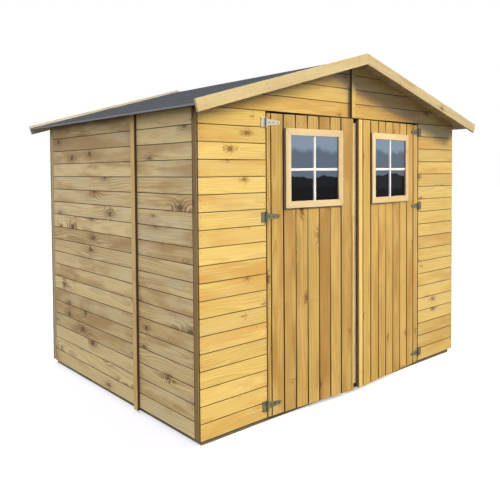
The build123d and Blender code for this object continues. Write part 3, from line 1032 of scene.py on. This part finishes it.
@dataclass(frozen=True)
class BoardedPanel:
    """One prefabricated wall panel of horizontal boards, the size of its CAD node."""

    node: str
    facing: Facing
    profile: BoardProfile
    cuts: Sequence[Cut] = ()
    stud_lines: tuple[float, ...] = ()
    nail_inset: float = 13.0
    nail_shares: tuple[float, ...] = (0.24, 0.72)
    roof_clearance: float = 8.0

    def lay(self, joiner: Joiner, nailer: Nailer) -> list[Piece]:
        """Lay the panel's boards from the bottom up and nail them.

        Args:
            joiner: Lays the boards.
            nailer: Drives the nails.

        Returns:
            The boards, not yet joined.
        """
        low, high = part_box(self.node)
        start, length, face = self.facing.face(self.node)
        pattern = self.profile.pattern(length / MM)
        cover = self.profile.cover * MM
        tip, near = cover + self.profile.tongue * MM, 1 * MM
        lines = (self.nail_inset * MM, length - self.nail_inset * MM, *self.stud_lines)
        boards = []
        # a last row that would show less than a fiftieth of its height is left out
        for row in range(math.ceil((high.z - low.z) / cover - 0.02)):
            foot = Matrix.Translation((start, face, low.z + row * cover))
            place = self.facing.turn() @ foot
            # only a board whose upper corners come near a roof slope is sawn
            corners = [place @ Vector((x, 0, tip)) for x in (0, length)]
            cuts = [cut for cut in self.cuts if min(map(cut.depth, corners)) < near]
            boards.append(joiner.lay(pattern, place, cuts))
            for line in lines:
                for up in (share * cover for share in self.nail_shares):
                    spot = place @ Vector((line, 0, up))
                    if all(cut.depth(spot) > self.roof_clearance * MM for cut in self.cuts):
                        nailer.drive(place, line, up)
        discard(pattern)
        return [board for board in boards if len(board.data.vertices)]


# ------------------------------------------------------------------ sub-assemblies


def roof_cut(side: Side) -> Cut:
    """The underside of a roof slope, as a cut through what stands below it."""
    ridge = Vector((0, 0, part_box("front_gable_left")[1].z))
    return Cut(ridge, Vector((side.value * SLOPE_SIN, 0, SLOPE_COS)))


@dataclass
class Walls:
    """The boarded walls, their cover battens and their nails."""

    profile: BoardProfile = BoardProfile(90.0, 16.0, 2.5, joint=1.6, tongue=6.0)
    batten_thickness: float = 16.0
    batten_bevel: float = 2.0
    batten_spare: float = 10.0
    batten_nail_start: float = 60.0
    batten_nail_pitch: float = 295.0
    batten_nail_bay: float = 300.0  # there is a nail for each bay that is begun
    stud_offset: float = 588.0
    rear_stud: float = 600.0
    seed: int = 5

    def __post_init__(self) -> None:
        """Take up the tools."""
        self.joiner, self.nailer = Joiner(self.seed), Nailer()

    def build(self) -> None:
        """Board all four walls and enter them in the frame."""
        left, right = ((roof_cut(side),) for side in Side)
        low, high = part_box("left_wall_rear")
        stud, rear = self.stud_offset * MM, (self.rear_stud * MM,)
        front, back, west, east = Facing.FRONT, Facing.REAR, Facing.LEFT, Facing.RIGHT
        plans = {
            "front_wall_boards": (
                ("front_wall_left", front), ("front_wall_right", front),
                ("front_gable_left", front, left), ("front_gable_right", front, right),
            ),
            "rear_wall_boards": (
                ("rear_wall_left", back, left, rear), ("rear_wall_right", back, right, rear),
            ),
            "left_wall_boards": (
                ("left_wall_front", west, left),
                ("left_wall_rear", west, left, (high.y - low.y - stud,)),
            ),
            "right_wall_boards": (
                ("right_wall_front", east, right), ("right_wall_rear", east, right, (stud,)),
            ),
        }
        for name, rows in plans.items():
            panels = [BoardedPanel(row[0], row[1], self.profile, *row[2:]) for row in rows]
            boards = [board for panel in panels for board in panel.lay(self.joiner, self.nailer)]
            timber = FRONT_BOARDS if name == "front_wall_boards" else SIDE_BOARDS
            wall = dress(join(name, boards), timber)
            enter(wall, SHED, [panel.node for panel in panels])
        self._battens()
        enter(dress(self.nailer.gather("wall_nails"), NAIL_STEEL), SHED)

    def _battens(self) -> None:
        """Fix the cover battens over the joints between panels."""
        left, right = (roof_cut(side) for side in Side)
        battens: dict[str, list[Piece]] = {}
        for node, facing, cuts in (
            ("side_wall_battens", Facing.LEFT, (left,)),
            ("side_wall_battens", Facing.RIGHT, (right,)),
            ("front_gable_batten", Facing.FRONT, (left, right)),
            ("rear_wall_batten", Facing.REAR, (left, right)),
        ):
            low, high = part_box(node)
            height = high.z - low.z
            start, width, face = facing.face(node)
            profile = BoardProfile(width / MM, self.batten_thickness, self.batten_bevel)
            pattern = profile.pattern(height / MM + self.batten_spare)
            place = facing.turn() @ Matrix.Translation((start + width, face, low.z)) @ UPRIGHT
            battens.setdefault(node, []).append(self.joiner.lay(pattern, place, cuts))
            discard(pattern)
            for nail in range(int(height / (self.batten_nail_bay * MM)) + 1):
                along = (self.batten_nail_start + self.batten_nail_pitch * nail) * MM
                self.nailer.drive(place, along, width / 2)
        for node, parts in battens.items():
            timber = FRONT_BOARDS if "front" in node else BATTEN
            piece = dress(join(node + "_planed", parts), timber, BATTEN_SIDE_SHADE)
            # side faces take the dark finish: painted shade beside each batten
            for polygon in piece.data.polygons:
                out = polygon.normal.x if "side" in node else polygon.normal.y
                polygon.material_index = int(abs(polygon.normal.z) < 0.5 and abs(out) <= 0.5)
            enter(piece, SHED, [node])


def hinge_screws(name: str, spots: Sequence[tuple[float, float]], finish: Finish) -> Piece:
    """Drive pan-head screws through the hinge metal on the front.

    Args:
        name: Name of the piece.
        spots: Where they sit across the shed and above the ground, in millimetres.
        finish: Their finish.

    Returns:
        The screws, joined and dressed.
    """
    screw, front = pan_head_screw(), FRONT_FACE - HINGE_METAL
    heads = [copy_of(screw, Matrix.Translation(Vector((x, front, z)) * MM)) for x, z in spots]
    discard(screw)
    return dress(join(name, heads), finish)


@dataclass
class Door:
    """One boarded leaf, modelled shut and then set ajar about its pin."""

    side: Side
    body: str
    width: float
    first_board: float
    cover: float
    window_from_edge: float
    paler_edge_width: float  # how far from the free edge the boards are drawn paler, in millimetres
    seed: int
    hinge_edge: float = 736.0
    bottom: float = 31.0
    top: float = 1728.0
    board_thickness: float = 16.0
    board_bevel: float = 4.2
    board_joint: float = 4.4
    plain_bevel: float = 3.0
    plain_joint: float = 2.0
    narrow_board: float = 40.0
    free_edge: float = 4.0
    hole_before: float = 10.0
    hole_behind: float = 30.0
    board_nails: tuple[float, ...] = (0.3, 0.7)
    window_height: float = 1422.0
    window_hole: float = 396.0
    frame_outer: float = 456.0
    frame_width: float = 40.0
    frame_proud: float = 12.0
    mitre_gap: float = 0.8
    bar_width: float = 16.0
    bar_depth: float = 9.0
    bar_drop: float = 7.0
    bar_clearance: float = 0.3
    pane_depth: float = 4.0
    pane_thickness: float = 4.0
    pane_size: float = 394.0
    ledge_heights: tuple[float, ...] = (130.0, 640.0, 1120.0, 1680.0)
    strap_screws: tuple[float, ...] = (19.0, 49.0, 81.0)

    def __post_init__(self) -> None:
        """Take up the tools."""
        self.joiner, self.nailer = Joiner(self.seed), Nailer(seed=self.seed)

    def build(self) -> None:
        """Model the leaf's boards, window, nails and screws and enter them in the frame."""
        self._boards()
        self._window()
        self._screws()

    def _x(self, from_edge: float) -> float:
        """Place across the shut doorway of a distance from the hinged edge, in millimetres."""
        return self.side.value * (self.hinge_edge - from_edge)

    def _settle(self, piece: Piece, replaced: Sequence[str] = ()) -> None:
        """Set a dressed piece of the shut leaf ajar about the pin and enter it in the frame.

        Args:
            piece: The dressed piece.
            replaced: CAD nodes that it replaces.
        """
        pin = Matrix.Translation(Vector((self.side.value * PIN[0], PIN[1], 0)) * MM)
        swing = Matrix.Rotation(self.side.value * DOOR_AJAR, 4, "Z")
        piece.data.transform(pin @ swing @ pin.inverted())
        enter(piece, self.body, replaced)

    def _boards(self) -> None:
        """Hang the upright boards, cut out for the window, and nail them to the ledges."""
        edges = [0.0, self.first_board]
        while edges[-1] < self.width:
            edges.append(min(edges[-1] + self.cover, self.width))
        half = self.window_hole / 2
        middle = self._x(self.window_from_edge)
        hole = (
            (middle - half, FRONT_FACE - self.hole_before, self.window_height - half),
            (middle + half, FRONT_FACE + self.hole_behind, self.window_height + half),
        )
        boards = []
        for start, end in zip(edges, edges[1:]):
            width, last = end - start, end == edges[-1]
            if last or width < self.narrow_board:
                section = {"edge_bevel": self.plain_bevel, "joint": self.plain_joint * (not last)}
            else:
                section = {"edge_bevel": self.board_bevel, "joint": self.board_joint, "tongue": 5.0}
            profile = BoardProfile(width, self.board_thickness, **section)
            pattern = profile.pattern(self.top - self.bottom)
            low_x, high_x = sorted((self._x(start), self._x(end)))
            place = Matrix.Translation(Vector((high_x, FRONT_FACE, self.bottom)) * MM) @ UPRIGHT
            crosses = low_x < middle + half and high_x > middle - half
            boards.append(self.joiner.lay(pattern, place, hole=hole if crosses else None))
            discard(pattern)
            for height in self.ledge_heights:
                for share in self.board_nails if width > self.narrow_board else (0.5,):
                    up = (height - self.bottom) * MM
                    self.nailer.drive(place, up, share * width * MM)
        node = self.body + "_boards"
        leaf = dress(join(node + "_laid", boards), DOOR_BOARDS, PAINTED_SHADE_SIDES, DOOR_EDGE)
        edge = abs(self._x(self.width))
        for polygon in leaf.data.polygons:
            depth = abs(polygon.center.x) / MM - edge
            # painted shade: the free edge's side faces take the dark finish
            if depth < self.free_edge and polygon.normal.y > -0.95:
                polygon.material_index = 1
            # the boards nearest the free edge are drawn paler
            elif depth < self.paler_edge_width:
                polygon.material_index = 2
        self._settle(leaf, [node])
        nails = dress(self.nailer.gather(self.body + "_nails"), NAIL_STEEL)
        self._settle(nails)

    def _window(self) -> None:
        """Plant the mitred frame on the boards, with its glazing bars and its pane."""
        window = Vector((self._x(self.window_from_edge), FRONT_FACE, self.window_height))
        centre = Matrix.Translation(window * MM)
        member = self._frame_member()
        turns = [Matrix.Rotation(quarter * math.pi / 2, 4, "Y") for quarter in range(4)]
        members = [self.joiner.lay(member, centre @ turn) for turn in turns]
        discard(member)
        node = self.body + "_window_frame"
        mitred = dress(join(node + "_mitred", members), WINDOW_FRAME, PAINTED_SHADE_SIDES)
        # the frame's sides take the dark finish: painted shade
        for polygon in mitred.data.polygons:
            polygon.material_index = int(abs(polygon.normal.y) < 0.5)
        self._settle(mitred, [node])

        inner = self.frame_outer - 2 * self.frame_width
        half_bar = self.bar_width / 2
        front = self.pane_depth - self.bar_depth - self.bar_clearance
        profile = BoardProfile(self.bar_width, self.bar_depth, 3.0)
        bars = []
        for start, length, level, turn in (
            (-inner / 2, inner, -self.bar_drop, Matrix.Identity(4)),
            (half_bar - self.bar_drop, inner / 2 - half_bar + self.bar_drop, 0.0, UPRIGHT),
            (-inner / 2, inner / 2 - half_bar - self.bar_drop, 0.0, UPRIGHT),
        ):
            pattern = profile.pattern(length)
            shift = Matrix.Translation(Vector((start, front, level - half_bar)) * MM)
            bars.append(self.joiner.lay(pattern, centre @ turn @ shift))
            discard(pattern)
        self._settle(dress(join(self.body + "_window_bars", bars), GLAZING_BARS))

        half, back = self.pane_size / 2, self.pane_depth + self.pane_thickness
        low, high = (-half, self.pane_depth, -half), (half, back, half)
        pane = start_block(self.body + "_pane", low, high)
        with editing(pane):
            bpy.ops.mesh.bevel(offset=0.4 * MM, segments=1)
        pane.data.transform(centre)
        self._settle(dress(pane, GLASS), [self.body + "_glass"])

    def _frame_member(self) -> Piece:
        """Model the head of the window frame, mitred at both ends, about the window's centre."""
        half, foot = self.frame_outer / 2, self.frame_outer / 2 - self.frame_width
        member = start_block("member", (-half, -self.frame_proud, foot), (half, 0, half))
        for edge, bevel in ((foot, 1.6), (half, 2.4)):
            with editing(
                member, "EDGE",
                lambda a, b: lies_at(-self.frame_proud * MM, a.y, b.y)
                and lies_at(edge * MM, a.z, b.z),
            ):
                bpy.ops.mesh.bevel(offset=bevel * MM, segments=2, profile=0.35)
        for end in (-1, 1):
            corner = Vector((end * (half - self.mitre_gap), 0, half)) * MM
            Cut(corner, Vector((end, 0, -1)).normalized()).saw(member)
        return member

    def _screws(self) -> None:
        """Drive the pan-head screws through the hinge straps."""
        reaches = [self._x(reach) for reach in self.strap_screws]
        spots = [(x, height) for height in HINGE_HEIGHTS for x in reaches]
        screws = hinge_screws(self.body + "_hinge_screws", spots, NAIL_STEEL)
        self._settle(screws)


@dataclass(frozen=True)
class Floor:
    """Tongue-and-groove floor boards that run from front to rear on the base."""

    node: str = "floor_deck"
    boards: int = 25
    seed: int = 31

    def build(self) -> None:
        """Lay the floor boards and enter them in the frame."""
        low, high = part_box(self.node)
        cover, thickness = (high.x - low.x) / self.boards, (high.z - low.z) / MM
        profile = BoardProfile(cover / MM, thickness, 1.0, joint=0.8, tongue=6.0)
        pattern = profile.pattern((high.y - low.y) / MM)
        joiner = Joiner(self.seed)
        face_up = Matrix(((0, 0, -1, 0), (1, 0, 0, 0), (0, -1, 0, 0), (0, 0, 0, 1)))
        laid = []
        for row in range(1, self.boards + 1):
            spot = Matrix.Translation((low.x + row * cover, low.y, high.z))
            laid.append(joiner.lay(pattern, spot @ face_up))
        Cut(Vector((low.x, 0, 0)), Vector((-1, 0, 0))).saw(laid[0])
        discard(pattern)
        deck = dress(join("floor_boards", laid), FLOOR_BOARDS)
        enter(deck, SHED, [self.node])


@dataclass
class Roof:
    """Boarded roof slopes with their felt and bargeboards."""

    rows: int = 15
    board_thickness: float = 12.0
    board_gap: float = 0.3
    ridge_gap: float = 0.8
    felt_sheet: float = 1.4
    felt_gap: float = 0.3
    lap: float = 75.0
    cap_reach: float = 170.0
    upper_reach: float = 730.0
    hem: float = 9.4
    clouts_in_row: int = 13
    clout_inset: float = 25.0
    clout_end_inset: float = 40.0
    barge_width: float = 64.0
    barge_thickness: float = 15.2
    barge_top: float = 32.0
    barge_spare: float = 40.0
    barge_nails: tuple[float, ...] = (0.04, 0.36, 0.66, 0.95)
    barge_nail_rows: tuple[float, ...] = (0.3, 0.7)
    barge_nail_end: float = 60.0
    seed: int = 47

    def __post_init__(self) -> None:
        """Read the ridge, half the depth and the slope's length from the frame, in metres."""
        self.joiner = Joiner(self.seed)
        lowest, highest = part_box("roof_boards_left")
        self.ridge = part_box("front_gable_left")[1].z
        self.half_depth = highest.y
        self.slope = (self.ridge - lowest.z) / math.tan(ROOF_PITCH) / SLOPE_COS

    def build(self) -> None:
        """Build the roof and enter its pieces in the frame."""
        self._boards()
        self._felt()
        self._clouts()
        self._barges()

    def _on_slope(self, down: float, above: float) -> Vector:
        """A point of the left slope's section.

        Args:
            down: Distance down the slope from the ridge, in metres.
            above: Height square to the slope, above the boards' underside, in metres.

        Returns:
            The point, with no Y.
        """
        x = -down * SLOPE_COS - above * SLOPE_SIN
        return Vector((x, 0, self.ridge - down * SLOPE_SIN + above * SLOPE_COS))

    @staticmethod
    def _lie(way: int) -> Matrix:
        """The turn that lays a board along Y on the left slope, face down (1) or up (-1)."""
        run, rise = way * SLOPE_SIN, way * SLOPE_COS
        return Matrix(((0, -run, rise, 0), (1, 0, 0, 0), (0, rise, run, 0), (0, 0, 0, 1)))

    def _boards(self) -> None:
        """Lay the roof boards from the eaves to the ridge, on both slopes."""
        cover = self.slope / self.rows
        profile = BoardProfile(
            cover / MM, self.board_thickness, 2.0, joint=0.8, tongue=5.0, tongue_start=3.5,
            tongue_end=8.0,
        )
        pattern = profile.pattern(2 * self.half_depth / MM)
        for side in Side:
            gap = Vector((side.value * self.board_gap * MM, 0, 0))
            ridge_cut = Cut(gap, Vector((-side.value, 0, 0)))
            laid = []
            for row in range(self.rows):
                foot = self._on_slope(self.slope - row * cover, 0)
                foot.y = -self.half_depth
                place = side.turn() @ Matrix.Translation(foot) @ self._lie(1)
                top = row == self.rows - 1
                laid.append(self.joiner.lay(pattern, place, (ridge_cut,) if top else ()))
            name = side.name.lower()
            slope = dress(join(f"roof_{name}_boarding", laid), ROOF_BOARDS)
            enter(slope, SHED, ["roof_boards_" + name])
        discard(pattern)

    def _sheet(self, name: str, section: Sequence[Vector]) -> Piece:
        """Fold a sheet of felt along a section and run it from front to rear.

        Args:
            name: Name of the sheet.
            section: Points of its underside, from one edge to the other.

        Returns:
            The sheet, with its thickness and a slight unevenness.
        """
        step = section[1] - section[0]
        activate()
        bpy.ops.mesh.primitive_plane_add(
            size=1.0, location=(section[0] + section[1]) / 2,
            rotation=(0, -math.atan2(step.z, step.x), 0),
        )
        sheet = bpy.context.object
        sheet.name = name
        sheet.scale = (step.length, 2 * self.half_depth - 1.0 * MM, 1)
        bpy.ops.object.transform_apply(location=True, rotation=True, scale=True)
        near = 0.01 * MM
        for here, there in zip(section[1:], section[2:]):
            with editing(
                sheet, "EDGE",
                lambda a, b: lies_at(here.x, a.x, b.x, within=near)
                and lies_at(here.z, a.z, b.z, within=near),
            ):
                bpy.ops.mesh.extrude_edges_move(TRANSFORM_OT_translate={"value": there - here})
        with editing(sheet, "EDGE", lambda a, b: abs(a.y - b.y) > 0.1 * MM):
            bpy.ops.mesh.subdivide(number_cuts=27)
        with editing(sheet, "EDGE", lambda a, b: abs(a.x - b.x) > 0.2):
            bpy.ops.mesh.subdivide(number_cuts=5)
        ripple = bpy.data.textures.new(name + "_ripple", "CLOUDS")
        ripple.noise_scale = 0.35
        lift = sheet.modifiers.new("ripple", "DISPLACE")
        lift.texture, lift.texture_coords, lift.direction = ripple, "LOCAL", "Z"
        lift.strength, lift.mid_level = 2.0 * MM, 0.35
        thicken = sheet.modifiers.new("sheet", "SOLIDIFY")
        thicken.thickness, thicken.offset = self.felt_sheet * MM, 1.0
        apply_modifiers(sheet)
        return sheet

    def _felt(self) -> None:
        """Lay two courses of felt on each slope and a capping over the ridge."""
        top = self.board_thickness * MM
        bed = top + self.felt_gap * MM
        lapped = bed + (self.felt_sheet + 0.4) * MM
        lap_top = (self.upper_reach - self.lap) * MM
        fold = self.slope + 0.9 * MM  # the eaves course turns down just clear of the boards
        eaves = (
            (fold, top - self.hem * MM), (fold, top + 0.2 * MM), (self.slope - 20 * MM, bed),
            (lap_top, bed),
        )
        upper = (
            (self.upper_reach * MM, lapped), (lap_top, lapped), (lap_top - 30 * MM, bed),
            (1 * MM, bed),
        )
        sheets = []
        for name, section in (("eaves", eaves), ("upper", upper)):
            left = self._sheet(name, [self._on_slope(*point) for point in section])
            sheets += [left, copy_of(left, Side.RIGHT.turn())]
        foot = self._on_slope(self.cap_reach * MM, lapped)
        crown = self._on_slope(0.0, lapped + self.felt_gap * MM)
        crown.x = 0.0
        sheets.append(self._sheet("cap", [foot, crown, Vector((-foot.x, 0, foot.z))]))
        felt = dress(join("roof_felt_sheets", sheets), FELT)
        enter(felt, SHED, ["roof_felt"])

    def _clouts(self) -> None:
        """Nail the laps and the capping with large-headed clout nails."""
        nailer = Nailer(head_radius=5.0, proud=0.9, scatter=2.0)
        lift = (self.board_thickness + 2 * self.felt_sheet + 1.4) * MM
        half_row = self.half_depth - self.clout_end_inset * MM
        for side in Side:
            for foot in (self.upper_reach, self.cap_reach):
                spot = self._on_slope((foot - self.clout_inset) * MM, lift)
                place = side.turn() @ Matrix.Translation(spot) @ self._lie(-1)
                for number in range(self.clouts_in_row):
                    along = (number / (self.clouts_in_row - 1) - 0.5) * 2 * half_row
                    nailer.drive(place, along, 0.0)
        enter(dress(nailer.gather("felt_clout_nails"), NAIL_STEEL), SHED)

    def _barges(self) -> None:
        """Fix a pair of bargeboards, mitred at the ridge, to each end of the roof."""
        length = self.slope + self.barge_spare * MM
        width, thickness = self.barge_width * MM, self.barge_thickness * MM
        profile = BoardProfile(self.barge_width, self.barge_thickness, 2.4, back_bevel=1.5)
        pattern = profile.pattern(length / MM)
        nailer = Nailer(proud=0.4, scatter=4.0)
        for end in End:
            turn, pair = end.turn(), []
            for side in Side:
                tilt = Matrix.Rotation(side.value * ROOF_PITCH, 4, "Y")
                foot = self._on_slope(self.slope, self.barge_top * MM)
                foot -= width * Vector((-SLOPE_SIN, 0, SLOPE_COS))
                if side is Side.RIGHT:
                    foot.x = -foot.x
                    foot -= length * Vector((SLOPE_COS, 0, -SLOPE_SIN))
                foot.y = -self.half_depth - thickness
                place = turn @ Matrix.Translation(foot) @ tilt
                gap = Vector((side.value * self.ridge_gap * MM, 0, 0))
                ridge_cut = Cut(turn @ gap, turn.to_3x3() @ Vector((-side.value, 0, 0)))
                pair.append(self.joiner.lay(pattern, place, (ridge_cut,)))
                for share in self.barge_nails:
                    along = share * (length - self.barge_nail_end * MM)
                    if side is Side.RIGHT:
                        along = length - along
                    for across in self.barge_nail_rows:
                        nailer.drive(place, along, across * width)
            name = end.name.lower()
            barges = dress(join(f"bargeboards_{name}", pair), BARGES[end])
            nodes = [f"bargeboard_{name}_{side.name.lower()}" for side in Side]
            enter(barges, SHED, nodes)
        discard(pattern)
        enter(dress(nailer.gather("bargeboard_nails"), NAIL_STEEL), SHED)


@dataclass(frozen=True)
class Framing:
    """The sawn frame, the base and the hinges, which keep their CAD shape."""

    screw_out: float = 27.0
    screw_up: tuple[float, ...] = (19.0, -19.0)

    def build(self) -> None:
        """Drive two screws through each fixed hinge plate and dress the CAD nodes shown."""
        spots = [
            (side.value * (PIN[0] + self.screw_out), height + up)
            for side in Side for height in HINGE_HEIGHTS for up in self.screw_up
        ]
        screws = hinge_screws("hinge_plate_screws", spots, HINGE_STEEL)
        enter(screws, SHED)
        for node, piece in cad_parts.items():
            if not piece.hide_render:
                dress(piece, CAD_FINISHES[node])
                log.info("%s dressed with %s", node, CAD_FINISHES[node].name)


# ------------------------------------------------------------------ stage


def heading(bearing: float, climb: float) -> Vector:
    """Point a unit vector.

    Args:
        bearing: Radians clockwise from +Y, seen from above.
        climb: Radians above the level.

    Returns:
        The vector.
    """
    level = math.cos(climb)
    return Vector((math.sin(bearing) * level, math.cos(bearing) * level, math.sin(climb)))


@dataclass(frozen=True)
class StagePaint(Finish):
    """Pale matt floor paint that throws back less light than it shows.

    Undersides stay dark over it.
    """

    thrown: str = "63686C"
    glow: float = 0.45

    def shader(self, sheet: NodeSheet) -> Socket:
        """Draw what the camera sees and what the light meets.

        Args:
            sheet: The sheet the nodes go on.

        Returns:
            The finished shader.
        """
        add = sheet.add
        place = add("TexCoord", output="Object")
        grey = add("TexNoise", place, at={"Scale": 0.6, "Detail": 2.0})
        grey = add("MapRange", grey, 0.0, 1.0, 0.61, 0.64)
        seen = add("BsdfDiffuse", add("CombineColor", grey, grey, grey))
        seen = add("AddShader", seen, add("Emission", linear("FFFFFF"), self.glow))
        thrown = add("BsdfDiffuse", linear(self.thrown))
        return add("MixShader", add("LightPath", output="Is Camera Ray"), thrown, seen)


@dataclass(frozen=True)
class Stage:
    """Pale floor, soft light and the camera."""

    bright_side: Colour = (2.14, 2.04, 1.85, 1.0)
    dim_side: Colour = (0.0, 0.16, 1.05, 1.0)
    bright_bearing: float = 305.0
    mirrored_sky: Colour = (0.52, 0.54, 0.56, 1.0)
    floor_size: float = 80.0
    key_colour: str = "FFEDA6"
    key_power: float = 745.0
    key_size: float = 8.0
    key_distance: float = 24.0
    key_bearing: float = 130.0
    key_height: float = 26.0
    key_spread: float = 32.0
    key_turn: float = 9.5
    camera_place: tuple[float, float, float] = (-2.9477, -3.3238, 1.4049)
    camera_bearing: float = 41.017
    camera_tilt: float = -0.0318
    camera_roll: float = 0.0070
    camera_lens: float = 42.527
    camera_shift: float = -0.119

    def build(self) -> None:
        """Set up the world, the floor, the key light and the camera."""
        bpy.context.scene.view_settings.view_transform = "Standard"
        self._world()
        activate()
        bpy.ops.mesh.primitive_plane_add(size=self.floor_size, location=(0, 0, 0))
        floor = bpy.context.object
        floor.name = "studio_floor"
        dress(floor, StagePaint("studio_floor_paint"))
        self._key()
        self._camera()

    def _world(self) -> None:
        """Soft light from all round, paler and stronger on the left, white behind the shed."""
        sheet = NodeSheet(bpy.data.worlds.new("studio"))
        add = sheet.add
        aside = tuple(heading(math.radians(self.bright_bearing), 0.0))
        direction = add("TexCoord", output="Generated")
        share = add("VectorMath:DOT_PRODUCT", direction, aside, output=1)
        share = add("MapRange", share, -0.8, 1.0)
        colour = add("Mix:RGBA", share, at={6: self.dim_side, 7: self.bright_side}, output=2)
        glow, mirrored, backdrop = (
            add("Background", light) for light in (colour, self.mirrored_sky, linear("FFFFFF"))
        )
        glow = add("MixShader", add("LightPath", output="Is Glossy Ray"), glow, mirrored)
        shader = add("MixShader", add("LightPath", output="Is Camera Ray"), glow, backdrop)
        bpy.context.scene.world = sheet.show(shader)

    def _key(self) -> None:
        """One large soft light from the front right."""
        towards = heading(math.radians(self.key_bearing), math.radians(self.key_height))
        lamp = bpy.data.lights.new("key_light", "AREA")
        lamp.shape, lamp.size, lamp.energy = "SQUARE", self.key_size, self.key_power
        lamp.color = linear(self.key_colour)[:3]
        lamp.spread = math.radians(self.key_spread)
        key = bpy.data.objects.new("key_light", lamp)
        key.visible_glossy = False
        bpy.context.scene.collection.objects.link(key)
        key.location = Vector((0, 0, 1.0)) + self.key_distance * towards
        # it points past the shed's left side, so that the light falls off to the right
        beam = Matrix.Rotation(math.radians(self.key_turn), 3, "Z") @ towards
        key.rotation_euler = beam.to_track_quat("Z", "Y").to_euler()

    def _camera(self) -> None:
        """The camera, at the angle the shed is best known from."""
        bearing, roll = math.radians(self.camera_bearing), self.camera_roll
        ahead = heading(bearing, self.camera_tilt)
        level = heading(bearing + math.pi / 2, 0.0)
        down = ahead.cross(level)
        right = math.cos(roll) * level + math.sin(roll) * down
        up = math.sin(roll) * level - math.cos(roll) * down
        lens = bpy.data.cameras.new("camera")
        lens.lens, lens.sensor_width, lens.shift_y = self.camera_lens, 36.0, self.camera_shift
        camera = bpy.data.objects.new("camera", lens)
        bpy.context.scene.collection.objects.link(camera)
        turn = Matrix((right, up, -ahead)).transposed().to_4x4()
        camera.matrix_world = Matrix.Translation(self.camera_place) @ turn
        bpy.context.scene.camera = camera


# ------------------------------------------------------------------ main


def main() -> None:
    """Build the shed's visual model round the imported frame."""
    logging.basicConfig(level=logging.INFO, format="%(message)s")
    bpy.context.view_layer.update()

    Walls().build()
    Floor().build()
    Roof().build()
    Door(
        Side.LEFT, LEFT_DOOR, width=686.0, first_board=28.0, cover=91.4, window_from_edge=359.0,
        paler_edge_width=0.0, seed=61,
    ).build()
    Door(
        Side.RIGHT, RIGHT_DOOR, width=740.0, first_board=67.6, cover=90.1, window_from_edge=376.0,
        paler_edge_width=24.0, seed=62,
    ).build()
    Framing().build()
    Stage().build()


if __name__ == "__main__":
    main()
